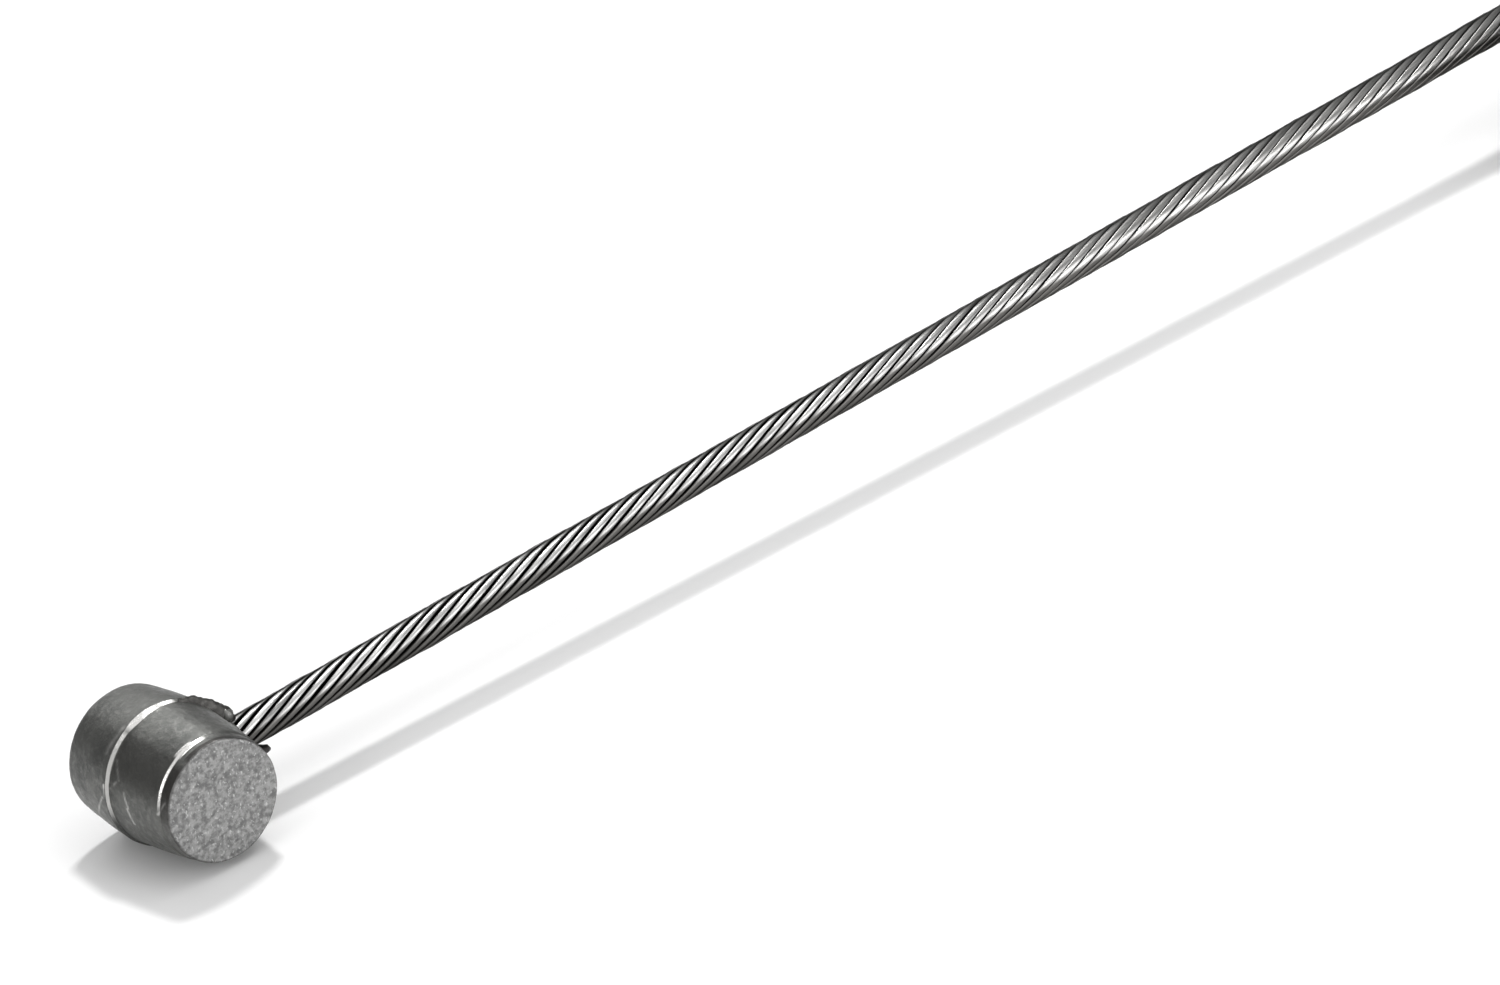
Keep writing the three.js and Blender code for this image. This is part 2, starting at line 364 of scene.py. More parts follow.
def add_wires(shell, line, end):
    """Twelve outer wires, each a little off its even place, round a middle painted dark as shade.
    """
    lengths = np.linspace(0, end, int(end / OUTER_LAY * WIRE_STEPS_IN_LAY) + 1)
    u = 2 * math.pi * (np.arange(WIRE_SIDES) + 0.5) / WIRE_SIDES
    flatter = rise(lengths, *FLATTER)[:, None]
    round_squareness, flat_squareness = WIRE_SQUARENESS
    power = 2 / (round_squareness + (flat_squareness - round_squareness) * flatter)
    wide = (WIRE_HALF_WIDTH + WIRE_SPREAD * flatter) * squared(np.cos(u), power)
    high = WIRE_HALF_HEIGHT * squared(np.sin(u), power)
    slant = 1 / math.cos(math.atan(2 * math.pi * WIRE_RING / OUTER_LAY))
    closed = rise(lengths, end - CLOSING[0], end - CLOSING[1])[:, None]
    tight = rise(lengths, *LOOSE_UNTIL)[:, None]
    sunk = rise(lengths, end - JOINT_OVERLAP, end)[:, None]
    slack = WIRE_SLACK * (1 - closed) + LOOSENED * (1 - tight) - JOINT_SINK * sunk
    for number in range(OUTER_WIRES):
        shift, lift, roll = (
            amount * ripple(seed + number, lengths[:, None] / mm, scale, WANDER_WAVES)[:, None]
            for seed, amount, scale in WANDERS
        )
        angle = 2 * math.pi * number / OUTER_WIRES + shift
        out = WIRE_RING + lift + high * np.cos(roll) + wide * np.sin(roll)
        side = (wide * np.cos(roll) - high * np.sin(roll)) * slant
        x = out * np.cos(angle) - side * np.sin(angle)
        y = out * np.sin(angle) + side * np.cos(angle)
        add_tube(shell, line, lengths, x, y, slack * np.cos(angle), slack * np.sin(angle))
    u = 2 * math.pi * np.arange(CORE_SIDES) / CORE_SIDES
    add_tube(shell, line, lengths, CORE_RADIUS * np.cos(u), CORE_RADIUS * np.sin(u))


def lobed_outline():
    """The outer wires' outline round the strand, from groove to groove."""
    apart = 360 / OUTER_WIRES
    wires = range(OUTER_WIRES)
    points = [(apart * wire + off, radius) for wire in wires for off, radius in LOBE_POINTS]
    degrees, radii = np.array(points).T
    angles = np.radians(degrees)
    return radii * mm * np.cos(angles), radii * mm * np.sin(angles)


def add_lobed(shell, line, start, end):
    """The rest of the strand as one tube with the wires' outline."""
    lengths = np.linspace(start, end, int((end - start) / OUTER_LAY * LOBED_STEPS_IN_LAY) + 1)
    add_tube(shell, line, lengths, *lobed_outline())


def build_strand(line, material):
    joined = line.lengths[len(straight_line()) - 1]
    shell = Shell()
    add_wires(shell, line, joined + JOINT_OVERLAP)
    add_lobed(shell, line, joined - TUBE_OVERLAP, line.length - TIP_LENGTH + TUBE_OVERLAP)
    strand = shell.piece("strand", material)
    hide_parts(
        "core_wire",
        *[f"inner_wire_{i + 1}" for i in range(INNER_WIRES)],
        *[f"outer_wire_{i + 1}" for i in range(OUTER_WIRES)],
        "hank",
    )
    return strand


def build_tip(line, material):
    """The wires' outline melts into a smooth round end."""
    share = np.linspace(0, 1, TIP_RINGS)[:, None]
    x, y = lobed_outline()
    angle = np.arctan2(y, x)
    melted = rise(share, 0, TIP_MELTED_BY)
    radius = np.hypot(x, y) * (1 - melted) + TIP_RADIUS * melted + TIP_SKIN
    rounded = np.clip((share - TIP_ROUND_FROM) / (1 - TIP_ROUND_FROM), 0, 1)
    radius = radius * (1 - TIP_NARROWING * rounded**1.6)
    around = np.stack(np.broadcast_arrays(np.cos(angle), np.sin(angle), 6 * share), axis=-1)
    radius = radius + TIP_BUMPS * ripple(31, around, 1.0) * melted
    x, y = radius * np.cos(angle), radius * np.sin(angle)
    rings = in_strand(line, line.length - TIP_LENGTH * (1 - share[:, 0]), x, y)
    middle, middle_before = rings[-1].mean(axis=0), rings[-2].mean(axis=0)
    cap = middle + 0.6 * (rings[-1] - middle) + 0.5 * (middle - middle_before)
    grain = in_grain(x, y, share)
    shell = Shell()
    shell.add(np.concatenate([rings, cap[None]]), grain=np.concatenate([grain, grain[-1:]]))
    tip = shell.piece("tip", material)
    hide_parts("fused_tip")
    return tip


# Ties: each one's x from the hank's origin, and in degrees the side of the hank that it holds
TIE_PLACES = ((15 * mm, 90), (19 * mm, -90), (5 * mm, -90))
TIE_GAP = 0.1 * mm
TIE_THICKNESS = 0.4 * mm
TIE_WIDTH = 2.2 * mm
TIE_POWERS = (0.3, 0.45)
TIE_SIDES = 16
TIE_STEP = 0.25 * mm
CORNER_STEPS = 6
LOCK_SIZE = Vector((3.2 * mm, 3.0 * mm, 1.3 * mm))
LOCK_WALL = 0.34 * mm
LOCK_EDGE = 0.22 * mm
SLOT_DEPTH = 1.0 * mm
TAIL_FROM = 0.7 * mm
TAIL_LENGTH = 1.75 * mm
TAIL_NARROWER = 0.93
TAIL_RINGS = 12


def section_outline(distance):
    """The line round the hank's section at a distance from the outer turns' middles."""
    outside, inside = OUTERMOST_RADIUS, FOLD_RADIUS
    middles = np.array(
        [
            (outside, layer_height(1)),
            (outside, layer_height(TOP_LAYER - 1)),
            (outside - TURN_PITCH, layer_height(TOP_LAYER)),
            (inside, layer_height(TOP_LAYER)),
            (inside, layer_height(1)),
        ]
    )
    ahead = np.roll(middles, -1, axis=0) - middles
    facing = np.unwrap(np.arctan2(ahead[:, 1], ahead[:, 0]) - math.pi / 2)
    outline = []
    for number, middle in enumerate(middles):
        start = facing[number - 1] - (2 * math.pi if number == 0 else 0)
        for turn in np.linspace(start, facing[number], CORNER_STEPS):
            outline.append(middle + distance * np.array([math.cos(turn), math.sin(turn)]))
    return np.array(outline)


def tie_section():
    """The band's rounded section: across its width and through its thickness."""
    u = 2 * math.pi * (np.arange(TIE_SIDES) + 0.5) / TIE_SIDES
    wide = TIE_WIDTH / 2 * squared(np.cos(u), TIE_POWERS[0])
    thick = TIE_THICKNESS / 2 * squared(np.sin(u), TIE_POWERS[1])
    return wide[:, None], thick[:, None]


def tie_band(name, centre, radial, tangent, material):
    """A band of constant width round the hank's section."""
    corners = section_outline(STRAND_RADIUS + TIE_GAP + TIE_THICKNESS / 2)
    loop = []
    for here, there in zip(corners, np.roll(corners, -1, axis=0)):
        parts = max(1, int(np.linalg.norm(there - here) / TIE_STEP))
        loop += [here + (there - here) * part / parts for part in range(parts)]
    loop = np.array(loop)
    ahead = unit(np.roll(loop, -1, axis=0) - np.roll(loop, 1, axis=0))
    outward = np.stack([ahead[:, 1], -ahead[:, 0]], axis=-1)
    wide, thick = tie_section()
    across = loop[:, None] + outward[:, None] * thick
    shell = Shell()
    rings = centre + across[..., :1] * radial + across[..., 1:] * UP + wide * tangent
    shell.add(rings, closed=True)
    return shell.piece(name, material)


def tie_lock(name, place, angle, material):
    """A box whose outward side has a slot for the tail."""
    work = bmesh.new()
    bmesh.ops.create_cube(work, size=1)
    bmesh.ops.scale(work, vec=LOCK_SIZE, verts=work.verts)
    outside = max(work.faces, key=lambda f: f.calc_center_median().x)
    bmesh.ops.inset_region(work, faces=[outside], thickness=LOCK_WALL, depth=0)
    slot = bmesh.ops.extrude_face_region(work, geom=[outside])
    moved = [v for v in slot["geom"] if isinstance(v, bmesh.types.BMVert)]
    bmesh.ops.delete(work, geom=[outside], context="FACES_ONLY")
    bmesh.ops.translate(work, vec=(-SLOT_DEPTH, 0, 0), verts=moved)
    bmesh.ops.recalc_face_normals(work, faces=work.faces)
    mesh = bpy.data.meshes.new(name)
    work.to_mesh(mesh)
    work.free()
    lock = smooth_object(mesh, material)
    lock.matrix_world = Matrix.Translation(place + TO_ROW) @ Matrix.Rotation(angle, 4, "Z")
    bevel = lock.modifiers.new("edges", "BEVEL")
    bevel.width = LOCK_EDGE
    bevel.segments = 3
    bevel.limit_method = "ANGLE"
    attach(lock, "root")
    return lock


def tie_tail(name, place, radial, tangent, material):
    """The band's end, which comes out of the slot and is cut off."""
    share = np.linspace(0, 1, TAIL_RINGS)[:, None, None]
    wide, thick = tie_section()
    out = (TAIL_FROM + TAIL_LENGTH * share) * radial
    shell = Shell()
    shell.add(place + out + TAIL_NARROWER * wide * tangent + thick * UP)
    return shell.piece(name, material)


def build_tie(number, x, degrees, material):
    """A band with a lock on top of the hank and a cut tail."""
    angle = math.radians(degrees)
    radial = np.array([math.cos(angle), math.sin(angle), 0])
    tangent = np.array([-math.sin(angle), math.cos(angle), 0])
    centre = HANK_ORIGIN + np.array([x, 0, 0])
    band_height = layer_height(TOP_LAYER) + STRAND_RADIUS + TIE_GAP + TIE_THICKNESS / 2
    place = centre + (FOLD_RADIUS + TURN_PITCH) * radial + (band_height + LOCK_SIZE.z / 2) * UP
    band = tie_band(f"tie_{number}_band", centre, radial, tangent, material)
    lock = tie_lock(f"tie_{number}_lock", place, angle, material)
    tail = tie_tail(f"tie_{number}_tail", place, radial, tangent, material)
    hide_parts(f"hank_tie_{number}")
    return [band, lock, tail]


# Nipple: two tapered halves with the mould's mismatch between them, and a stepped rim
AXIS_HEIGHT = 3.5 * mm
RIDGE_RADIUS = 3.5 * mm
BACK_LENGTH = 3.57 * mm
BACK_RADIUS = 3.19 * mm
FRONT_LENGTH = 4.28 * mm
FRONT_RIDGE_RADIUS = 3.38 * mm
RIM_RADIUS = 3.06 * mm
RIM_STEP = 0.07 * mm
RIM_WIDTH = 0.13 * mm
FACE_RADIUS = 2.96 * mm
LAND_LENGTH = 0.8 * mm
EDGE_ROUND = 0.12 * mm
BULGE = 0.03 * mm
MOULD_SHIFT = (0.04 * mm, -0.05 * mm)

# Corners round the barrel, and rings on its back and front face and on its other stretches
AROUND = 420
FACE_RINGS = (12, 60)
EDGE_RINGS = 5
BACK_RINGS = 28
FRONT_RINGS = 41
LAND_RINGS = 14

# Width of the trimmed flash along the parting line, by the angle from +X towards +Z, in mm, how
# uneven it is, and its share on the back half
TRIM_WIDTHS = {
    0: 0.05,
    66: 0.05,
    76: 0.08,
    84: 0.12,
    94: 0.20,
    103: 0.28,
    111: 0.27,
    119: 0.12,
    128: 0.09,
    160: 0.07,
    200: 0.06,
    360: 0.05,
}
TRIM_UNEVEN = 0.12
TRIM_BACKWARD = 0.45

# Finish and painted light round the barrel: how strong each is, and the degrees where it starts, is
# full, fades and ends. The bare windows are bright trimmed metal set only where a glint falls,
# partly painted highlight; the dark edge, the seam and front shade and the shaded and outlined land
# are painted shade.
EDGE_DARK = 0.95
TRIM_BARE_GLINT = (1.0, 70, 80, 112, 122)
TRIM_HALF_BARE_GLINT = (0.55, 116, 124, 180, 200)
SEAM_SHADE = (0.8, -40, -20, 60, 75)
FRONT_PAINTED_SHADE = (0.45, 116, 122, 146, 172)
FRONT_GLINT_PATCH = (1.0, 97, 103, 114, 119)
RIM_BARE_GLINT = (1.0, 84, 92, 156, 170)
LAND_GLINT_PATCH = (1.0, 85, 93, 112, 119)
LAND_SHADED = (0.8, 118, 126, 168, 195)
LAND_OUTLINED = ((EDGE_DARK, -70, -50, 112, 120), (EDGE_DARK, 290, 310, 500, 520))

# Scuffs on the barrel: each runs from one angle and place along the axis to another, in degrees
# and mm, with its half width in mm and how bare it is
SCUFFS = (
    (118, 0.22, 140, 0.42, 0.13, 0.22),
    (142, -0.28, 156, -0.70, 0.06, 0.32),
    (158, -0.55, 165, -0.15, 0.06, 0.30),
    (164, 0.13, 173, 0.20, 0.05, 0.80),
    (175, 0.35, 198, 1.50, 0.05, 0.40),
    (164, -1.12, 176, -1.38, 0.06, 0.45),
    (177, -1.28, 190, -1.50, 0.06, 0.55),
    (156, -4.02, 170, -3.52, 0.06, 0.90),
)
SCUFF_EVEN = 0.75
SCUFF_PATCHY = 0.35

# Unevenness of the barrel and of its end faces: seed, height and scale in mm, and waves
LUMPS = ((51, 0.010, 1.1, 14), (52, 0.006, 0.35, 14), (53, 0.0035, 0.12, 24))
GRAINS = ((54, 0.007, 0.11, 24), (55, 0.005, 0.3, 14))
GRAINS_SUNK = 0.010
BARE_SMOOTHER = 0.7

# Flash over the strand: height and half width in mm, by the angle from +X towards +Z, and how
# deep it is rooted in the barrel
FLASH_HEIGHTS = {
    14: 0.30, 17: 0.56, 22: 0.60, 27: 0.47, 32: 0.32, 40: 0.27, 48: 0.20, 56: 0.12, 68: 0.04
}
FLASH_WIDTHS = {14: 0.20, 22: 0.30, 34: 0.20, 55: 0.13, 68: 0.07}
FLASH_ROOT = 0.25 * mm
FLASH_STEPS = 70

# Drop of metal beside the flash
DROP_DEGREES = (16, 26)
DROP_RADIUS = RIDGE_RADIUS + 0.24 * mm
DROP_Y = -0.12 * mm
DROP_HALF_WIDTH = 0.24 * mm
DROP_HALF_HEIGHT = 0.30 * mm
DROP_STEPS = 14

# Burr under the strand, by x in mm: its height from the axis, half thickness and half width in mm
BURR = {
    2.9: (-0.8, 0.32, 0.4),
    3.6: (-0.85, 0.32, 0.36),
    4.3: (-1.0, 0.25, 0.26),
    4.75: (-1.15, 0.2, 0.24),
    5.1: (-1.32, 0.2, 0.2),
    5.3: (-1.4, 0.06, 0.05),
}
BURR_STEPS = 40
BEAD_SIDES = 16

# Collar where the strand comes out of the barrel: how far its upper and lower sides lie back, its
# mean thickness and how much that varies, how much longer than thick it is, and its corners
COLLAR_X = 3.39 * mm
COLLAR_RADIUS = 0.85 * mm
COLLAR_LIFT = 0.1 * mm
COLLAR_BACK = 0.11 * mm
COLLAR_THICKNESS = (0.13 * mm, 0.05 * mm)
COLLAR_LONGER = 2.2
COLLAR_STEPS = (48, 12)


def window(degrees, strength, start, full, fade, end):
    """The whole strength between full and fade, nothing outside start and end."""
    return strength * rise(degrees, start, full) * (1 - rise(degrees, fade, end))


def scuffed(degrees, y):
    """How bare the scuffs make the barrel at a place along its axis, angle by angle."""
    across = math.radians(1) * RIDGE_RADIUS / mm
    here = np.stack([degrees * across, np.broadcast_to(y / mm, degrees.shape)], axis=-1)
    bare = np.zeros_like(degrees)
    for start_angle, start_y, end_angle, end_y, half_width, amount in SCUFFS:
        start = np.array([start_angle * across, start_y])
        run = np.array([end_angle * across, end_y]) - start
        share = np.clip((here - start) @ run / (run @ run), 0, 1)
        gap = np.linalg.norm(here - start - share[:, None] * run, axis=-1)
        seed = int(start_angle * 10 + start_y * 7)
        worn = amount * (SCUFF_EVEN + SCUFF_PATCHY * ripple(seed, here, 0.12, 20))
        bare = np.maximum(bare, worn * np.exp(-((gap / half_width) ** 2)))
    return bare


def barrel_rings(angle):
    """Rings of the casting from the middle of its back face to the middle of its front face.

    Each ring has its place along the axis, its radius, its share of the mould's shift, how far it
    is bare metal (worn, or set where a glint falls as partly painted highlight), how far it is
    painted dark as shade, and how far it is end face.
    """
    degrees = np.degrees(angle)
    trim = np.interp(degrees, list(TRIM_WIDTHS), list(TRIM_WIDTHS.values())) * mm
    trim = trim * (1 + TRIM_UNEVEN * ripple(41, degrees[:, None], 9))
    back_edge = TRIM_BACKWARD * trim
    front_edge = back_edge - trim
    back_round = BACK_LENGTH - EDGE_ROUND
    rim_y = LAND_LENGTH - FRONT_LENGTH
    land_y = rim_y - RIM_WIDTH
    front_round = EDGE_ROUND - FRONT_LENGTH
    quarter = math.pi / 2
    rings = []

    def ring(y, radius, shift=0.0, bare=0.0, dark=0.0, face=0.0):
        bare = np.clip(np.maximum(bare, scuffed(degrees, y) * (1 - face)), 0, 1)
        values = (y, radius, shift, bare, dark, face)
        rings.append([np.broadcast_to(value, degrees.shape) for value in values])

    for share in np.linspace(0.02, 0.98, FACE_RINGS[0]):
        ring(BACK_LENGTH, share * (BACK_RADIUS - EDGE_ROUND), face=1)
    for turn in np.linspace(quarter, 0, EDGE_RINGS):
        y = back_round + EDGE_ROUND * math.sin(turn)
        ring(y, BACK_RADIUS - EDGE_ROUND * (1 - math.cos(turn)), face=0.5)
    for share in np.linspace(0, 1, BACK_RINGS + 2)[1:-1]:
        y = back_round + (back_edge - back_round) * share
        radius = BACK_RADIUS + (RIDGE_RADIUS - BACK_RADIUS) * share
        ring(y, radius + BULGE * math.sin(math.pi * share))
    # The trim is bright bare metal only where the glint falls, partly painted highlight; the rest
    # of the parting band gets painted shade.
    trimmed_and_glint = np.maximum(window(degrees, *TRIM_BARE_GLINT), window(degrees, *TRIM_HALF_BARE_GLINT))
    seam_shade = window(degrees, *SEAM_SHADE)
    for share in (0, 0.08, 0.3, 0.5, 0.7, 0.92, 1):
        y = back_edge + (front_edge - back_edge) * share
        radius = RIDGE_RADIUS + (FRONT_RIDGE_RADIUS - RIDGE_RADIUS) * share
        inside = 0.05 < share < 0.95
        ring(y, radius, share, bare=trimmed_and_glint * inside, dark=seam_shade * inside)
    # By the rim a bright patch where the glint falls, partly painted highlight, and a painted dark
    # band of reflected shade on the front half.
    patch = window(degrees, *FRONT_GLINT_PATCH)
    front_shade = window(degrees, *FRONT_PAINTED_SHADE)
    for share in np.linspace(0, 1, FRONT_RINGS + 1)[1:]:
        y = front_edge + (rim_y - front_edge) * share
        radius = FRONT_RIDGE_RADIUS + (RIM_RADIUS - FRONT_RIDGE_RADIUS) * share
        radius = radius + BULGE * math.sin(math.pi * share)
        ring(y, radius, 1, bare=patch * (share > 0.96), dark=front_shade)
    # The rim's step is bright bare metal only where the glint falls, partly painted highlight.
    bare = window(degrees, *RIM_BARE_GLINT)
    for share in (0.25, 0.5, 0.75, 1):
        ring(rim_y - RIM_WIDTH * share, RIM_RADIUS - RIM_STEP * share, 1, bare=bare)
    # On the land a bright patch where the glint falls, partly painted highlight, then painted shade
    # and a painted dark outline by the face.
    patch = window(degrees, *LAND_GLINT_PATCH)
    shaded = window(degrees, *LAND_SHADED)
    outlined = sum(window(degrees, *place) for place in LAND_OUTLINED)
    for share in np.linspace(0, 1, LAND_RINGS + 1)[1:]:
        y = land_y + (front_round - land_y) * share
        radius = RIM_RADIUS - RIM_STEP + (FACE_RADIUS - RIM_RADIUS + RIM_STEP) * share
        dark = np.maximum(shaded, outlined * (share > 0.6))
        ring(y, radius, 1, bare=patch * (share < 0.2), dark=dark)
    # The front face's rounded edge gets a painted dark outline, painted shade.
    for turn in np.linspace(0, quarter, EDGE_RINGS + 1)[1:]:
        y = front_round - EDGE_ROUND * math.sin(turn)
        radius = FACE_RADIUS - EDGE_ROUND * (1 - math.cos(turn))
        ring(y, radius, 1, dark=EDGE_DARK * (1 - turn / quarter), face=1)
    for share in np.linspace(1, 0.01, FACE_RINGS[1])[1:]:
        ring(-FRONT_LENGTH, share * (FACE_RADIUS - EDGE_ROUND), 1, face=1)
    return np.array(rings)


def add_barrel(shell):
    """Both tapered halves, uneven as cast, from face to face."""
    angle = 2 * math.pi * np.arange(AROUND) / AROUND
    y, radius, shift, bare, dark, face = barrel_rings(angle).transpose(1, 0, 2)
    cos, sin = np.cos(angle), np.sin(angle)
    places = np.stack([radius * cos, y, radius * sin], axis=-1)
    outward = np.stack(np.broadcast_arrays(cos, 0 * y, sin), axis=-1)
    endward = np.stack([0 * y, np.sign(y), 0 * y], axis=-1)
    on_face = (face > 0.6) & (radius < FACE_RADIUS - EDGE_ROUND)
    lumps = layered(places / mm, LUMPS) * (1 - BARE_SMOOTHER * bare)
    grains = layered(places / mm, GRAINS) - GRAINS_SUNK
    height = np.where(on_face, grains, lumps) * mm
    places = places + np.where(on_face[..., None], endward, outward) * height[..., None]
    places[..., 0] += shift * MOULD_SHIFT[0]
    places[..., 2] += shift * MOULD_SHIFT[1] + AXIS_HEIGHT
    places[..., 2] = np.maximum(places[..., 2], 0.0)
    shell.add(places[:, ::-1], finish=np.stack([bare, dark, face], axis=-1)[:, ::-1])


def add_bead(shell, path, half_width, half_height, seed, rough, finish):
    """A ragged bead of metal: half_width is along Y and half_height away from it, ring by ring."""
    side = np.array([0.0, 1.0, 0.0])
    up = unit(np.cross(unit(np.gradient(path, axis=0)), side))
    u = 2 * math.pi * np.arange(BEAD_SIDES) / BEAD_SIDES
    rings = (
        path[:, None]
        + (half_width[:, None] * np.cos(u))[..., None] * side
        + (half_height[:, None] * np.sin(u))[..., None] * up[:, None]
    )
    away = unit(rings - path[:, None] + 1e-9)
    noise = layered(rings / mm, ((seed, 1.0, 0.22, 20), (seed + 1, 0.6, 0.1, 20)))
    rings = rings + away * (rough * noise)[..., None]
    rings[..., 2] += AXIS_HEIGHT
    shell.add(rings, finish=np.broadcast_to(finish, rings.shape))


def arc(degrees, radius, y):
    """A path round the nipple's axis."""
    angle = np.radians(degrees)
    return np.stack(np.broadcast_arrays(radius * np.cos(angle), y, radius * np.sin(angle)), -1)


def add_flash(shell):
    """What the mould squeezed out in its parting plane over the strand, with a drop beside it."""
    degrees = np.linspace(min(FLASH_HEIGHTS), max(FLASH_HEIGHTS), FLASH_STEPS)
    height = np.interp(degrees, list(FLASH_HEIGHTS), list(FLASH_HEIGHTS.values())) * mm
    width = np.interp(degrees, list(FLASH_WIDTHS), list(FLASH_WIDTHS.values())) * mm
    path = arc(degrees, RIDGE_RADIUS - FLASH_ROOT + height / 2, 0.02 * mm)
    add_bead(shell, path, width, FLASH_ROOT + height / 2, 61, 0.05 * mm, (0.15, 0.85, 0))
    path = arc(np.linspace(*DROP_DEGREES, DROP_STEPS), DROP_RADIUS, DROP_Y)
    swell = np.sin(np.linspace(0.2, math.pi - 0.2, DROP_STEPS))
    wide, high = DROP_HALF_WIDTH * swell, DROP_HALF_HEIGHT * swell
    add_bead(shell, path, wide, high, 65, 0.03 * mm, (0.1, 0.25, 0))


def add_burr(shell):
    """What it squeezed out under the strand."""
    x = np.linspace(min(BURR), max(BURR), BURR_STEPS)
    low, thick, wide = (np.interp(x, list(BURR), column) for column in zip(*BURR.values()))
    path = np.stack([x, 0 * x + 0.02, low], axis=-1) * mm
    add_bead(shell, path, wide * mm, thick * mm, 71, 0.04 * mm, (0, 1, 0))


def add_collar(shell):
    """The casting's skin runs up a little way round the strand."""
    turn = np.linspace(0, 2 * math.pi, COLLAR_STEPS[0], endpoint=False)
    u = 2 * math.pi * np.arange(COLLAR_STEPS[1]) / COLLAR_STEPS[1]
    around = np.stack([np.cos(turn), np.sin(turn)], axis=-1)
    thick = (COLLAR_THICKNESS[0] + COLLAR_THICKNESS[1] * ripple(81, around, 0.6))[:, None]
    back = COLLAR_BACK * (0.5 * (1 - np.cos(2 * turn)))[:, None]
    out = COLLAR_RADIUS + thick * np.cos(u)
    x = COLLAR_X - back + COLLAR_LONGER * thick * np.sin(u)
    y = out * np.cos(turn)[:, None]
    z = out * np.sin(turn)[:, None] + AXIS_HEIGHT + COLLAR_LIFT
    rings = np.stack([x, y, z], axis=-1)
    shell.add(rings, closed=True, finish=np.broadcast_to((0.3, 0.3, 0.0), rings.shape))


def build_nipple(material):
    shell = Shell()
    add_barrel(shell)
    add_flash(shell)
    add_burr(shell)
    add_collar(shell)
    piece = shell.piece("cast_nipple", material)
    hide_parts("nipple")


class Nodes:
    """The nodes of a material or of the world, made one at a time."""

    def __init__(self, owner, shader="Principled BSDF"):
        owner.use_nodes = True
        self.owner = owner
        self.tree = owner.node_tree
        self.shader = self.tree.nodes[shader]

    def feed(self, socket, value):
        """Links another node's output to the socket, or gives the socket its own value."""
        if isinstance(value, bpy.types.NodeSocket):
            self.tree.links.new(value, socket)
        else:
            socket.default_value = value

    def node(self, kind, inputs=(), **settings):
        made = self.tree.nodes.new(kind)
        for key, value in settings.items():
            setattr(made, key, value)
        for key, value in dict(inputs).items():
            self.feed(made.inputs[key], value)
        return made

    def set(self, **values):
        for key, value in values.items():
            self.feed(self.shader.inputs[key.replace("_", " ")], value)

    def coordinate(self, kind):
        return self.node("ShaderNodeTexCoord").outputs[kind]

    def attribute(self, name):
        return self.node("ShaderNodeAttribute", attribute_name=name).outputs["Vector"]

    def part(self, vector, axis):
        return self.node("ShaderNodeSeparateXYZ", {0: vector}).outputs[axis]

    def vector_math(self, operation, first, second=(0, 0, 0), output="Vector"):
        inputs = {0: first, 1: second}
        return self.node("ShaderNodeVectorMath", inputs, operation=operation).outputs[output]

    def scaled(self, vector, factors):
        return self.vector_math("MULTIPLY", vector, factors)

    def noise(self, vector, scale, detail=3, roughness=0.5):
        inputs = {"Vector": vector, "Scale": scale, "Detail": detail, "Roughness": roughness}
        return self.node("ShaderNodeTexNoise", inputs).outputs["Fac"]

    def math(self, operation, first, second):
        return self.node("ShaderNodeMath", {0: first, 1: second}, operation=operation).outputs[0]

    def plus(self, base, value, share):
        """The base and a share of another value."""
        inputs = {0: value, 1: share, 2: base}
        return self.node("ShaderNodeMath", inputs, operation="MULTIPLY_ADD").outputs[0]

    def ramp(self, value, low, high, from_value=0.0, to_value=1.0, kind="SMOOTHSTEP"):
        inputs = {
            "Value": value,
            "From Min": low,
            "From Max": high,
            "To Min": from_value,
            "To Max": to_value,
        }
        return self.node("ShaderNodeMapRange", inputs, interpolation_type=kind).outputs["Result"]

    def colour(self, factor, first, second):
        """A mix of two colours, each an output or red, green and blue."""
        mix = self.node("ShaderNodeMix", {0: factor}, data_type="RGBA")
        for index, value in ((6, first), (7, second)):
            self.feed(mix.inputs[index], (*value, 1) if isinstance(value, tuple) else value)
        return mix.outputs[2]

    def bump(self, height, strength, distance):
        inputs = {"Height": height, "Strength": strength, "Distance": distance}
        return self.node("ShaderNodeBump", inputs).outputs["Normal"]


# Steel, in mm: between these lengths the painted dark edge on the strand's back-facing side grows,
# and between those the painted dark edge and the painted shade on the underside end before the
# hank. A wire's crown begins this far from the strand's middle; nearer the middle the grooves get
# painted shade.
PAINTED_EDGE_GROWS = (8, 60)
PAINTED_SHADE_UNTIL = (82, 90)
CROWN = (0.75, 0.795)


